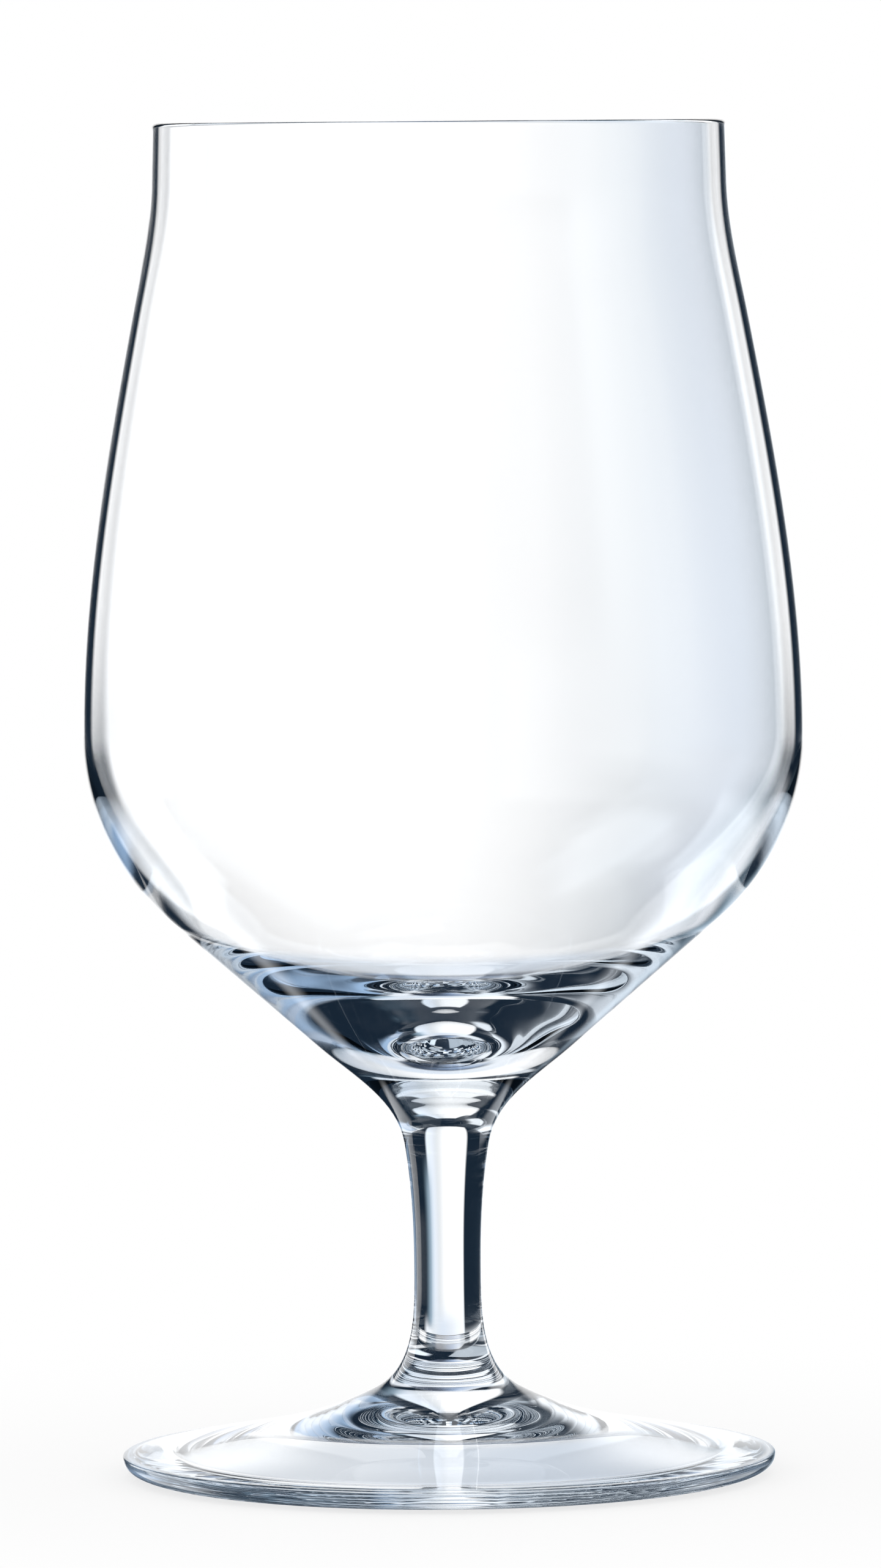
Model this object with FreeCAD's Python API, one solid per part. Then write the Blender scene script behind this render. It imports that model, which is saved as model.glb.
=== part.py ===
"""Stemmed beer glass: tulip bowl, solid stem and foot, all one piece of clear glass."""
import FreeCAD, Part
import math
import os
from collections import namedtuple

# Lengths in millimetres, angles in degrees. Z is the axis of the glass and z = 0 is the table.
# The outside is drawn through levels. Each level has its rise above the level below it and a radius,
# or an inset from the level that it belongs to. A lean is the way the wall heads as it goes down:
# 0 is straight down, positive is away from the axis and negative is towards it.

# Foot, from the table up
edge_radius = 40.5
edge_rise = 2.3
ring_inset = 4.2
ring_width = 2.2
hollow_height = 6.2
brim_inset = 1.3
brim_rise = 0.4
brim_lean = 76.9
ankle_rise = 7.9
ankle_radius = 9.0
ankle_lean = 61.8

# Stem
waist_rise = 15.3
waist_radius = 4.15
neck_rise = 15.2
neck_radius = 5.25
neck_lean = -9.6

# Bowl, outside
collar_rise = 12.0
collar_radius = 15.7
hip_rise = 15.7
hip_inset = 10.8
belly_rise = 23.2
belly_radius = 44.6
shoulder_rise = 51.8
shoulder_radius = 38.1
shoulder_lean = 10.9
lip_foot_rise = 16.0
lip_flare = 0.2
rim_rise = 7.7
rim_radius = 35.4

# Bowl, wall, and the cavity's round bottom
rim_wall = 1.2
shoulder_wall = 1.1
belly_wall = 1.1
hip_wall = 2.0
hip_inner_lean = -46.6
basin_radius = 12.45
basin_rise = 3.55
basin_lean = -64.5
floor_rise = 1.1

Level = namedtuple("Level", "radius height lean")


def heading(lean):
    """Direction of travel, as (outwards, up), for a wall that goes down with this lean."""
    angle = math.radians(lean)
    return math.sin(angle), -math.cos(angle)


def lean_between(upper_radius, upper_height, lower_radius, lower_height):
    return math.degrees(math.atan2(lower_radius - upper_radius, upper_height - lower_height))


def inside(level, wall):
    """The level on the inner surface that faces this one through the thickness of the wall."""
    outwards, up = heading(level.lean)
    return Level(level.radius + wall * up, level.height - wall * outwards, level.lean)


def point(radius, height):
    return FreeCAD.Vector(radius, 0, height)


def line(upper, lower):
    return Part.LineSegment(point(upper.radius, upper.height), point(lower.radius, lower.height)).toShape()


def curve(upper, lower):
    """Bezier curve that leaves and meets both levels along their leans, and is an arc where it can be."""
    turn = math.radians(upper.lean - lower.lean)
    chord = math.hypot(upper.radius - lower.radius, upper.height - lower.height)
    handle = chord / (3 * math.cos(turn / 4) ** 2)
    start = heading(upper.lean)
    end = heading(lower.lean)
    bezier = Part.BezierCurve()
    bezier.setPoles([
        point(upper.radius, upper.height),
        point(upper.radius + handle * start[0], upper.height + handle * start[1]),
        point(lower.radius - handle * end[0], lower.height - handle * end[1]),
        point(lower.radius, lower.height),
    ])
    return bezier.toShape()


# Heights of the levels
brim_height = edge_rise + brim_rise
ankle_height = brim_height + ankle_rise
waist_height = ankle_height + waist_rise
neck_height = waist_height + neck_rise
collar_height = neck_height + collar_rise
hip_height = collar_height + hip_rise
belly_height = hip_height + belly_rise
shoulder_height = belly_height + shoulder_rise
lip_foot_height = shoulder_height + lip_foot_rise
rim_height = lip_foot_height + rim_rise

# The lip and the cone between hip and collar are straight, so their leans follow from their ends.
lip_foot_radius = rim_radius + lip_flare
hip_radius = belly_radius - hip_inset
lip_lean = lean_between(rim_radius, rim_height, lip_foot_radius, lip_foot_height)
cone_lean = lean_between(hip_radius, hip_height, collar_radius, collar_height)

ring_radius = edge_radius - ring_inset
hollow_radius = ring_radius - ring_width
hollow_lean = -90 - 2 * math.degrees(math.atan(hollow_height / hollow_radius))

# Outside, from the rim down to the middle of the underside
rim = Level(rim_radius, rim_height - rim_wall / 2, lip_lean)
rim_top = Level(rim_radius - rim_wall / 2, rim_height, 90)
lip_foot = Level(lip_foot_radius, lip_foot_height, lip_lean)
shoulder = Level(shoulder_radius, shoulder_height, shoulder_lean)
belly = Level(belly_radius, belly_height, 0)
hip = Level(hip_radius, hip_height, cone_lean)
collar = Level(collar_radius, collar_height, cone_lean)
neck = Level(neck_radius, neck_height, neck_lean)
waist = Level(waist_radius, waist_height, 0)
ankle = Level(ankle_radius, ankle_height, ankle_lean)
brim = Level(edge_radius - brim_inset, brim_height, brim_lean)
edge = Level(edge_radius, edge_rise, 0)
ring = Level(ring_radius, 0, -90)
hollow_edge = Level(hollow_radius, 0, hollow_lean)
hollow_top = Level(0, hollow_height, -90)

# Cavity, from the rim down to the middle of its floor
rim_inside = inside(rim, rim_wall)
rim_top_inwards = Level(rim_top.radius, rim_top.height, -90)
lip_foot_inside = inside(lip_foot, rim_wall)
shoulder_inside = inside(shoulder, shoulder_wall)
belly_inside = inside(belly, belly_wall)
hip_inside = inside(hip, hip_wall)._replace(lean=hip_inner_lean)
cavity_floor = Level(0, collar_height + floor_rise, -90)
basin = Level(basin_radius, cavity_floor.height + basin_rise, basin_lean)


def rounded_rim():
    """The fire-polished rim: a quarter round down to the outside, and one down to the inside."""
    return [curve(rim_top, rim), curve(rim_top_inwards, rim_inside)]


def outside_wall():
    bowl = [line(rim, lip_foot), curve(lip_foot, shoulder), curve(shoulder, belly), curve(belly, hip),
            line(hip, collar)]
    stem = [curve(collar, neck), curve(neck, waist), curve(waist, ankle)]
    foot = [curve(ankle, brim), curve(brim, edge), curve(edge, ring), line(ring, hollow_edge),
            curve(hollow_edge, hollow_top)]
    return bowl + stem + foot


def cavity_wall():
    return [line(rim_inside, lip_foot_inside), curve(lip_foot_inside, shoulder_inside),
            curve(shoulder_inside, belly_inside), curve(belly_inside, hip_inside),
            curve(hip_inside, basin), curve(basin, cavity_floor)]


def beer_glass():
    """Half of the section through the axis, turned once round it."""
    edges = rounded_rim() + outside_wall() + cavity_wall() + [line(cavity_floor, hollow_top)]
    section = Part.Face(Part.Wire(Part.__sortEdges__(edges)))
    solid = section.revolve(FreeCAD.Vector(0, 0, 0), FreeCAD.Vector(0, 0, 1), 360)
    if solid.Volume < 0:
        solid.reverse()
    return solid


os.makedirs("parts", exist_ok=True)
glass = beer_glass()
glass.exportStep("parts/beer_glass.step")
print("beer_glass: valid", glass.isValid(), "volume cm3", round(glass.Volume / 1000, 2),
      "height", round(rim_height, 2))
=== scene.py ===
import bmesh
import bpy
from math import atan, atan2, cos, degrees, pi, radians, sin
from mathutils import Matrix, Vector
from mathutils.geometry import interpolate_bezier


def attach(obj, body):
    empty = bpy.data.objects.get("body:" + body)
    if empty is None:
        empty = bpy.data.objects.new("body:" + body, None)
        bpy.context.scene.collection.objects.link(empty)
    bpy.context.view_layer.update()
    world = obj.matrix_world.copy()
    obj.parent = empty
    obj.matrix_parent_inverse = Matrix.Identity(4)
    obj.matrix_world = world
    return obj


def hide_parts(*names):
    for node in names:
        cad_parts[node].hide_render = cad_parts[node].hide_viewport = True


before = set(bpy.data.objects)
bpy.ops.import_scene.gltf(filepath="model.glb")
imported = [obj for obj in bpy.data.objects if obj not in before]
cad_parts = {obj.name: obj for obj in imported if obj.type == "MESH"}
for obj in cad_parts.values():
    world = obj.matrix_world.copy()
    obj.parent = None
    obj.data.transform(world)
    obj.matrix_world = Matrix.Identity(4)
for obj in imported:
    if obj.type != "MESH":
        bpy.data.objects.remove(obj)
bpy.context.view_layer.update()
scene = bpy.context.scene
mm = 0.001
white = (1, 1, 1, 1)


# Camera, at the height of the rim, so that the rim shows edge-on

cameraSetup = {
    "distance": 1340 * mm,
    "height": 167.6 * mm,
    "aimX": -0.4 * mm,
    "aimHeight": 85.6 * mm,
    "roll": -0.45,        # degrees; the whole photo is turned a little
    "lens": 249.1,
    "sensor": 36,
    "nearest": 50 * mm,   # nothing closer than this is drawn
}


def addCamera():
    place = Vector((0, -cameraSetup["distance"], cameraSetup["height"]))
    aim = Vector((cameraSetup["aimX"], 0, cameraSetup["aimHeight"]))
    data = bpy.data.cameras.new("camera")
    data.sensor_width = cameraSetup["sensor"]
    data.lens = cameraSetup["lens"]
    data.clip_start = cameraSetup["nearest"]
    turn = (aim - place).to_track_quat("-Z", "Y").to_matrix().to_4x4()
    roll = Matrix.Rotation(radians(cameraSetup["roll"]), 4, "Z")
    camera = bpy.data.objects.new("camera", data)
    camera.matrix_world = Matrix.Translation(place) @ turn @ roll
    scene.collection.objects.link(camera)
    scene.camera = camera


addCamera()
print("camera placed")


# Glass: half a section drawn through levels and spun round the axis. Millimetres and degrees; each level's
# height is its rise above the one below it, and a lean is the way the wall heads as it goes down.

glassShape = {
    "edgeRadius": 40.5, "edgeRise": 2.3,
    "ringInset": 4.2, "ringWidth": 2.2, "hollowHeight": 6.2,
    "brimInset": 1.3, "brimRise": 0.4, "brimLean": 76.9,
    "ankleRise": 7.9, "ankleRadius": 9.0, "ankleLean": 61.8,
    "waistRise": 15.3, "waistRadius": 4.15,
    "neckRise": 15.2, "neckRadius": 5.25, "neckLean": -9.6,
    "collarRise": 12.0, "collarRadius": 15.7,
    "hipRise": 15.7, "hipInset": 10.8,
    "bellyRise": 23.2, "bellyRadius": 44.6,
    "shoulderRise": 51.8, "shoulderRadius": 38.1, "shoulderLean": 10.9,
    "lipFootRise": 16.0, "lipFlare": 0.2, "rimRise": 7.7, "rimRadius": 35.4,
    "rimWall": 1.2, "shoulderWall": 1.1, "bellyWall": 1.1, "hipWall": 2.0, "hipInnerLean": -46.6,
    "basinRadius": 12.45, "basinRise": 3.55, "basinLean": -64.5, "floorRise": 1.1,
    "sectionStep": 1.0,      # along the section, between two rings of the mesh
    "sectionTurn": 2.5,      # or this far round a bend, if that is closer
    "fewestRings": 3,        # on each curve
    "turnSteps": 180,        # round the axis
    "mergeWithin": 0.002,
}


def heading(lean):
    return Vector((sin(radians(lean)), 0, -cos(radians(lean))))


class Level:
    def __init__(self, radius, height, lean):
        self.place = Vector((radius, 0, height))
        self.lean = lean

    def inside(self, wall, lean=None):
        # the level on the cavity's side of the wall
        way = heading(self.lean)
        moved = self.place + wall * Vector((way.z, 0, -way.x))
        return Level(moved.x, moved.z, self.lean if lean is None else lean)


def curve(upper, lower, s):
    turn = radians(upper.lean - lower.lean)
    chord = (upper.place - lower.place).length
    handle = chord / (3 * cos(turn / 4) ** 2)
    alongIt = round(chord / s["sectionStep"]) + 1
    roundIt = round(abs(degrees(turn)) / s["sectionTurn"]) + 1
    return interpolate_bezier(upper.place, upper.place + handle * heading(upper.lean),
                              lower.place - handle * heading(lower.lean), lower.place,
                              max(s["fewestRings"], alongIt, roundIt))


def glassSection(s):
    brimZ = s["edgeRise"] + s["brimRise"]
    ankleZ = brimZ + s["ankleRise"]
    waistZ = ankleZ + s["waistRise"]
    neckZ = waistZ + s["neckRise"]
    collarZ = neckZ + s["collarRise"]
    hipZ = collarZ + s["hipRise"]
    bellyZ = hipZ + s["bellyRise"]
    shoulderZ = bellyZ + s["shoulderRise"]
    lipFootZ = shoulderZ + s["lipFootRise"]
    rimZ = lipFootZ + s["rimRise"]
    lipLean = degrees(atan2(s["lipFlare"], s["rimRise"]))
    coneLean = degrees(atan2(s["collarRadius"] - s["bellyRadius"] + s["hipInset"], s["hipRise"]))
    ringR = s["edgeRadius"] - s["ringInset"]
    hollowR = ringR - s["ringWidth"]
    hollowLean = -90 - 2 * degrees(atan(s["hollowHeight"] / hollowR))

    rimTop = Level(s["rimRadius"] - s["rimWall"] / 2, rimZ, 90)
    rimTopInwards = Level(s["rimRadius"] - s["rimWall"] / 2, rimZ, -90)
    rim = Level(s["rimRadius"], rimZ - s["rimWall"] / 2, lipLean)
    lipFoot = Level(s["rimRadius"] + s["lipFlare"], lipFootZ, lipLean)
    shoulder = Level(s["shoulderRadius"], shoulderZ, s["shoulderLean"])
    belly = Level(s["bellyRadius"], bellyZ, 0)
    hip = Level(s["bellyRadius"] - s["hipInset"], hipZ, coneLean)
    collar = Level(s["collarRadius"], collarZ, coneLean)
    neck = Level(s["neckRadius"], neckZ, s["neckLean"])
    waist = Level(s["waistRadius"], waistZ, 0)
    ankle = Level(s["ankleRadius"], ankleZ, s["ankleLean"])
    brim = Level(s["edgeRadius"] - s["brimInset"], brimZ, s["brimLean"])
    edge = Level(s["edgeRadius"], s["edgeRise"], 0)
    ring = Level(ringR, 0, -90)
    hollowEdge = Level(hollowR, 0, hollowLean)
    hollowTop = Level(0, s["hollowHeight"], -90)

    outer = [rimTop, rim, lipFoot, shoulder, belly, hip, collar, neck, waist, ankle, brim, edge, ring]
    cavityFloor = Level(0, collarZ + s["floorRise"], -90)
    basin = Level(s["basinRadius"], collarZ + s["floorRise"] + s["basinRise"], s["basinLean"])
    cavity = [rimTopInwards, rim.inside(s["rimWall"]), lipFoot.inside(s["rimWall"]),
              shoulder.inside(s["shoulderWall"]), belly.inside(s["bellyWall"]),
              hip.inside(s["hipWall"], s["hipInnerLean"]), basin, cavityFloor]
    path = []
    for upper, lower in zip(cavity, cavity[1:]):
        path += curve(upper, lower, s)
    path.reverse()             # so that it runs on from the cavity's floor, over the rim and down the outside
    for upper, lower in zip(outer, outer[1:]):
        path += curve(upper, lower, s)
    path.append(hollowEdge.place)
    path += curve(hollowEdge, hollowTop, s)
    return path


def spunMesh(name, path, s):
    bm = bmesh.new()
    last = None
    for place in path:
        vert = bm.verts.new(place * mm)
        if last is not None:
            bm.edges.new((last, vert))
        last = vert
    bmesh.ops.remove_doubles(bm, verts=bm.verts, dist=s["mergeWithin"] * mm)
    bmesh.ops.spin(bm, geom=bm.verts[:] + bm.edges[:], cent=(0, 0, 0), axis=(0, 0, 1), angle=2 * pi,
                   steps=s["turnSteps"], use_merge=True, use_duplicate=False)
    bmesh.ops.remove_doubles(bm, verts=bm.verts, dist=s["mergeWithin"] * mm)
    bmesh.ops.recalc_face_normals(bm, faces=bm.faces)
    for face in bm.faces:
        face.smooth = True
    mesh = bpy.data.meshes.new(name)
    bm.to_mesh(mesh)
    bm.free()
    return mesh


# Glass: the material

clearGlass = {
    "index": 1.52,
    "tint": (0.72, 0.87, 1.0),       # what a long way through the glass leaves of red, green and blue
    "tintDensity": 6.0,              # per metre
    "drawLines": (55, 55, 7),        # ripples to a metre, few up and down, as they are long that way
    "rippleHeight": 0.02 * mm,
}


def glassMaterial():
    material = bpy.data.materials.new("clearGlass")
    material.use_nodes = True
    tree = material.node_tree
    new = tree.nodes.new
    link = tree.links.new
    shader = tree.nodes["Principled BSDF"]
    shader.inputs["Base Color"].default_value = white
    shader.inputs["Roughness"].default_value = 0
    shader.inputs["IOR"].default_value = clearGlass["index"]
    shader.inputs["Transmission Weight"].default_value = 1

    coord = new("ShaderNodeTexCoord")
    mapping = new("ShaderNodeMapping")
    mapping.inputs["Scale"].default_value = clearGlass["drawLines"]
    link(coord.outputs["Object"], mapping.inputs["Vector"])
    ripple = new("ShaderNodeTexNoise")
    ripple.inputs["Scale"].default_value = 1
    ripple.inputs["Detail"].default_value = 1
    link(mapping.outputs[0], ripple.inputs["Vector"])
    bump = new("ShaderNodeBump")
    bump.inputs["Strength"].default_value = 1
    bump.inputs["Distance"].default_value = clearGlass["rippleHeight"]
    link(ripple.outputs["Fac"], bump.inputs["Height"])
    link(bump.outputs[0], shader.inputs["Normal"])

    absorb = new("ShaderNodeVolumeAbsorption")
    absorb.inputs["Color"].default_value = clearGlass["tint"] + (1,)
    absorb.inputs["Density"].default_value = clearGlass["tintDensity"]
    link(absorb.outputs[0], tree.nodes["Material Output"].inputs["Volume"])
    return material


def addGlass():
    mesh = spunMesh("glass", glassSection(glassShape), glassShape)
    piece = bpy.data.objects.new("glass", mesh)
    scene.collection.objects.link(piece)
    mesh.materials.append(glassMaterial())
    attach(piece, "root")
    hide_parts("beer_glass")
    return piece


glass = addGlass()
print("glass spun:", len(glass.data.polygons), "faces")


# Light: what the glass mirrors and bends. The camera and the floor see plain white instead. Windows and cards
# marked bent show only through the glass, and those marked glossy only as reflections on its outside.
# A bearing is 0 behind the glass and 90 to its right; elevation 0 is level. Cards are in millimetres, apart
# from soft, which is a share of the width. Their stops run from left to right.

light = {
    "dark": (0.01, 0.02, 0.035),     # all that is no window or card
    "windows": {
        "left": {"bearing": (-125, -82), "elevation": (-24, 22), "soft": (34, 12),
                 "colour": (1.12, 1.17, 1.23), "only": "bent"},
        "right": {"bearing": (64, 112), "elevation": (-10, 26), "soft": (24, 12),
                  "colour": (0.45, 0.62, 0.85), "only": "bent"},
        "rightSide": {"bearing": (90, 125), "elevation": (0, 34), "soft": (10, 12),
                      "colour": (0.85, 0.92, 1.0), "only": "bent"},
        "rightLow": {"bearing": (63, 112), "elevation": (-30, -8), "soft": (12, 10),
                     "colour": (0.6, 0.7, 0.85), "only": "bent"},
        "frontRight": {"bearing": (79, 115), "elevation": (-67, -38), "soft": (10, 10),
                       "colour": (1.0, 1.1, 1.2), "only": "bent"},
        "frontLeft": {"bearing": (-160, -60), "elevation": (-100, -27), "soft": (10, 10),
                      "colour": (0.52, 0.58, 0.64), "only": "bent"},
        "behindLeft": {"bearing": (-62, -14), "elevation": (-42, -22), "soft": (8, 10),
                       "colour": (1.0, 1.06, 1.12), "only": "bent"},
        "behindRight": {"bearing": (12, 30), "elevation": (-40, -15), "soft": (8, 8),
                        "colour": (1.0, 1.04, 1.1), "only": "bent"},
        "lowBehind": {"bearing": (26, 50), "elevation": (-42, -24), "soft": (8, 8),
                      "colour": (1.0, 1.04, 1.1), "only": "bent"},
        "highLeft": {"bearing": (-95, -45), "elevation": (34, 62), "soft": (10, 10),
                     "colour": (1.0, 1.05, 1.1), "only": "bent"},
        "front": {"bearing": (112, 160), "elevation": (-35, 6), "soft": (10, 8),
                  "colour": (0.95, 0.97, 1.0), "only": "bent"},
        "behind": {"bearing": (-14, 14), "elevation": (-12, 22), "soft": (6, 8),
                   "colour": (1.25, 1.25, 1.25), "only": "glossy"},
        "edgeLeft": {"bearing": (-72, -28), "elevation": (-3, 26), "soft": (5, 8),
                     "colour": (2.7, 2.7, 2.7), "only": "glossy"},
        "middleLeft": {"bearing": (-78, -46), "elevation": (-17, -2), "soft": (5, 6),
                       "colour": (2.2, 2.2, 2.2), "only": "glossy"},
        "lowLeft": {"bearing": (-72, -28), "elevation": (-42, -15), "soft": (5, 8),
                    "colour": (2.0, 2.05, 2.1), "only": "glossy"},
        "sideRight": {"bearing": (43, 110), "elevation": (0, 50), "soft": (12, 12),
                      "colour": (0.4, 0.45, 0.5), "only": "glossy"},
        "faceRight": {"bearing": (110, 155), "elevation": (6, 45), "soft": (24, 24),
                      "colour": (1.2, 1.2, 1.2), "only": "glossy"},
        "lowRight": {"bearing": (28, 75), "elevation": (-42, -18), "soft": (5, 8),
                     "colour": (1.7, 1.8, 1.9), "only": "glossy"},
        "edgeRight": {"bearing": (28, 43), "elevation": (-3, 50), "soft": (5, 8),
                      "colour": (2.7, 2.7, 2.7), "only": "glossy"},
    },
    "cardStrength": 1.3,
    "cards": {
        "low": {"x": (-80, 80), "y": 197, "z": (-420, -80), "soft": 0.08, "softHeight": 60, "only": "bent",
                "stops": [(0, (0.69, 0.71, 0.73)), (0.35, (0.32, 0.4, 0.54)),
                          (0.65, (0.06, 0.08, 0.12)), (1, (0.06, 0.08, 0.12))]},
        "floorBehind": {"x": (-76, 76), "y": 196, "z": (-115, 24), "soft": 0.08, "softHeight": 40,
                        "only": "bent",
                        "stops": [(0, (0.86, 0.9, 0.94)), (0.38, (0.73, 0.77, 0.82)),
                                  (0.65, (0.63, 0.69, 0.77)), (1, (0.73, 0.75, 0.77))]},
        "back": {"x": (-76, 79), "y": 196, "z": (-40, 510), "soft": 0.08, "softHeight": 40, "only": "bent",
                 "stops": [(0, (0.99, 0.99, 0.99)), (0.5, (0.95, 0.95, 0.95)),
                           (0.6, (0.82, 0.83, 0.84)), (0.7, (0.68, 0.71, 0.74)),
                           (0.82, (0.73, 0.78, 0.85)), (1, (0.77, 0.85, 0.92))]},
        "shade": {"x": (40, 116), "y": 195, "z": (-60, 62), "soft": 0.5, "softHeight": 30, "only": "",
                  "stops": [(0, (0.54, 0.65, 0.77)), (0.5, (0.23, 0.31, 0.38)), (1, (0.02, 0.04, 0.06))]},
    },
}


class NodeMaker:
    # short ways to the nodes that the world, the cards and the floor are made of
    def __init__(self, tree):
        self.tree = tree
        tree.nodes.clear()

    def add(self, kind):
        return self.tree.nodes.new(kind)

    def feed(self, socket, value):
        if isinstance(value, bpy.types.NodeSocket):
            self.tree.links.new(value, socket)
        else:
            socket.default_value = value

    def math(self, operation, *values):
        node = self.add("ShaderNodeMath")
        node.operation = operation
        for socket, value in zip(node.inputs, values):
            self.feed(socket, value)
        return node.outputs[0]

    def fall(self, value, full, none):
        # 1 up to full, then smoothly down to 0 at none
        node = self.add("ShaderNodeMapRange")
        node.interpolation_type = "SMOOTHSTEP"
        for name, v in (("Value", value), ("From Min", none), ("From Max", full)):
            self.feed(node.inputs[name], v)
        return node.outputs[0]

    def inside(self, value, low, high, soft):
        # 1 between low and high, with soft edges half inside and half outside
        off = self.math("ABSOLUTE", self.math("SUBTRACT", value, (low + high) / 2))
        return self.fall(off, (high - low - soft) / 2, (high - low + soft) / 2)

    def blend(self, factor, low, high):
        node = self.add("ShaderNodeMix")
        node.data_type = "RGBA"
        for name, v in (("Factor", factor), ("A", low), ("B", high)):
            self.feed(node.inputs[name], v)
        return node.outputs["Result"]

    def mixShader(self, factor, first, second):
        node = self.add("ShaderNodeMixShader")
        for socket, v in zip(node.inputs, (factor, first, second)):
            self.feed(socket, v)
        return node.outputs[0]

    def glow(self, colour, kind="ShaderNodeEmission"):
        # a shader that has only a colour: plain light, unless another kind is named
        node = self.add(kind)
        self.feed(node.inputs["Color"], colour)
        return node.outputs[0]

    def finish(self, kind, surface):
        self.feed(self.add(kind).inputs["Surface"], surface)


def addWorld():
    world = bpy.data.worlds.new("studio")
    scene.world = world
    world.use_nodes = True
    world.cycles.sampling_method = "NONE"
    make = NodeMaker(world.node_tree)
    split = make.add("ShaderNodeSeparateXYZ")
    make.feed(split.inputs[0], make.add("ShaderNodeTexCoord").outputs["Generated"])
    x, y, z = split.outputs
    elevation = make.math("DEGREES", make.math("ARCSINE", z))
    bearing = make.math("DEGREES", make.math("ARCTAN2", x, y))
    path = make.add("ShaderNodeLightPath")
    bent = path.outputs["Is Transmission Ray"]
    mirrored = make.math("SUBTRACT", 1, bent)

    colour = light["dark"] + (1,)
    for window in light["windows"].values():
        low, high = window["bearing"]
        middle = (low + high) / 2
        turned = make.math("WRAP", make.math("SUBTRACT", bearing, middle), 180, -180)
        mask = make.math("MULTIPLY", make.inside(turned, low - middle, high - middle, window["soft"][0]),
                         make.inside(elevation, *window["elevation"], window["soft"][1]))
        mask = make.math("MULTIPLY", mask, mirrored if window["only"] == "glossy" else bent)
        colour = make.blend(mask, colour, window["colour"] + (1,))

    fromGlass = make.math("MAXIMUM", path.outputs["Is Glossy Ray"], bent)
    plain = make.glow(white, "ShaderNodeBackground")
    studio = make.glow(colour, "ShaderNodeBackground")
    make.finish("ShaderNodeOutputWorld", make.mixShader(fromGlass, plain, studio))


def addCard(name, card):
    left, right = [x * mm for x in card["x"]]
    low, high = [z * mm for z in card["z"]]
    width = right - left
    bm = bmesh.new()
    bmesh.ops.create_grid(bm, x_segments=1, y_segments=1, size=0.5)
    bmesh.ops.rotate(bm, verts=bm.verts, matrix=Matrix.Rotation(pi / 2, 3, "X"))
    bmesh.ops.scale(bm, verts=bm.verts, vec=(width, 1, high - low))
    bmesh.ops.translate(bm, verts=bm.verts, vec=((left + right) / 2, card["y"] * mm, (low + high) / 2))
    mesh = bpy.data.meshes.new(name)
    bm.to_mesh(mesh)
    bm.free()

    material = bpy.data.materials.new(name)
    material.use_nodes = True
    material.cycles.emission_sampling = "NONE"
    make = NodeMaker(material.node_tree)
    split = make.add("ShaderNodeSeparateXYZ")
    make.feed(split.inputs[0], make.add("ShaderNodeTexCoord").outputs["Object"])
    across = make.math("DIVIDE", make.math("SUBTRACT", split.outputs["X"], left), width)
    ramp = make.add("ShaderNodeValToRGB")
    make.feed(ramp.inputs[0], across)
    ramp.color_ramp.interpolation = "CARDINAL"
    elements = ramp.color_ramp.elements
    while len(elements) < len(card["stops"]):
        elements.new(0.5)              # its real place comes next
    for element, (place, colour) in zip(elements, card["stops"]):
        element.position = place
        element.color = colour + (1,)
    soft = card["soft"]
    rise = card["softHeight"] * mm
    mask = make.math("MULTIPLY", make.inside(across, soft / 2, 1 - soft / 2, soft),
                     make.inside(split.outputs["Z"], low + rise / 2, high - rise / 2, rise))
    clear = make.add("ShaderNodeBsdfTransparent").outputs[0]
    bright = make.glow(ramp.outputs[0])
    bright.node.inputs["Strength"].default_value = light["cardStrength"]
    make.finish("ShaderNodeOutputMaterial", make.mixShader(mask, clear, bright))
    mesh.materials.append(material)

    piece = bpy.data.objects.new(name, mesh)
    scene.collection.objects.link(piece)
    piece.visible_camera = False       # only the glass sees it
    piece.visible_diffuse = False
    piece.visible_shadow = False
    piece.visible_glossy = card["only"] != "bent"


floorSetup = {
    "radius": 2.0,
    "steps": 96,
    "drop": 0.2 * mm,                # so that it and the ring under the foot don't share a plane
    "shadowShare": 0.25,             # how much of the floor's white is real light, which the glass can shade
    "shadowFull": 50 * mm,           # from the axis
    "shadowNone": 160 * mm,
}


def addFloor():
    bm = bmesh.new()
    bmesh.ops.create_circle(bm, cap_ends=True, segments=floorSetup["steps"], radius=floorSetup["radius"],
                            matrix=Matrix.Translation((0, 0, -floorSetup["drop"])))
    mesh = bpy.data.meshes.new("floor")
    bm.to_mesh(mesh)
    bm.free()
    floor = bpy.data.objects.new("floor", mesh)
    scene.collection.objects.link(floor)
    floor.visible_glossy = False       # the windows and cards above take its place there
    floor.visible_transmission = False
    material = bpy.data.materials.new("paleFloor")
    material.use_nodes = True
    make = NodeMaker(material.node_tree)
    length = make.add("ShaderNodeVectorMath")
    length.operation = "LENGTH"
    make.feed(length.inputs[0], make.add("ShaderNodeTexCoord").outputs["Object"])
    near = make.fall(length.outputs["Value"], floorSetup["shadowFull"], floorSetup["shadowNone"])
    share = make.math("MULTIPLY", near, floorSetup["shadowShare"])
    paint = make.glow(white, "ShaderNodeBsdfDiffuse")
    make.finish("ShaderNodeOutputMaterial", make.mixShader(share, make.glow(white), paint))
    mesh.materials.append(material)


addWorld()
for name, card in light["cards"].items():
    addCard(name, card)
addFloor()
print("light and floor placed")

lightBounces = 40            # light is turned back many times inside the thick base
scene.view_settings.view_transform = "Standard"
scene.cycles.max_bounces = lightBounces
scene.cycles.transmission_bounces = lightBounces
scene.cycles.glossy_bounces = lightBounces
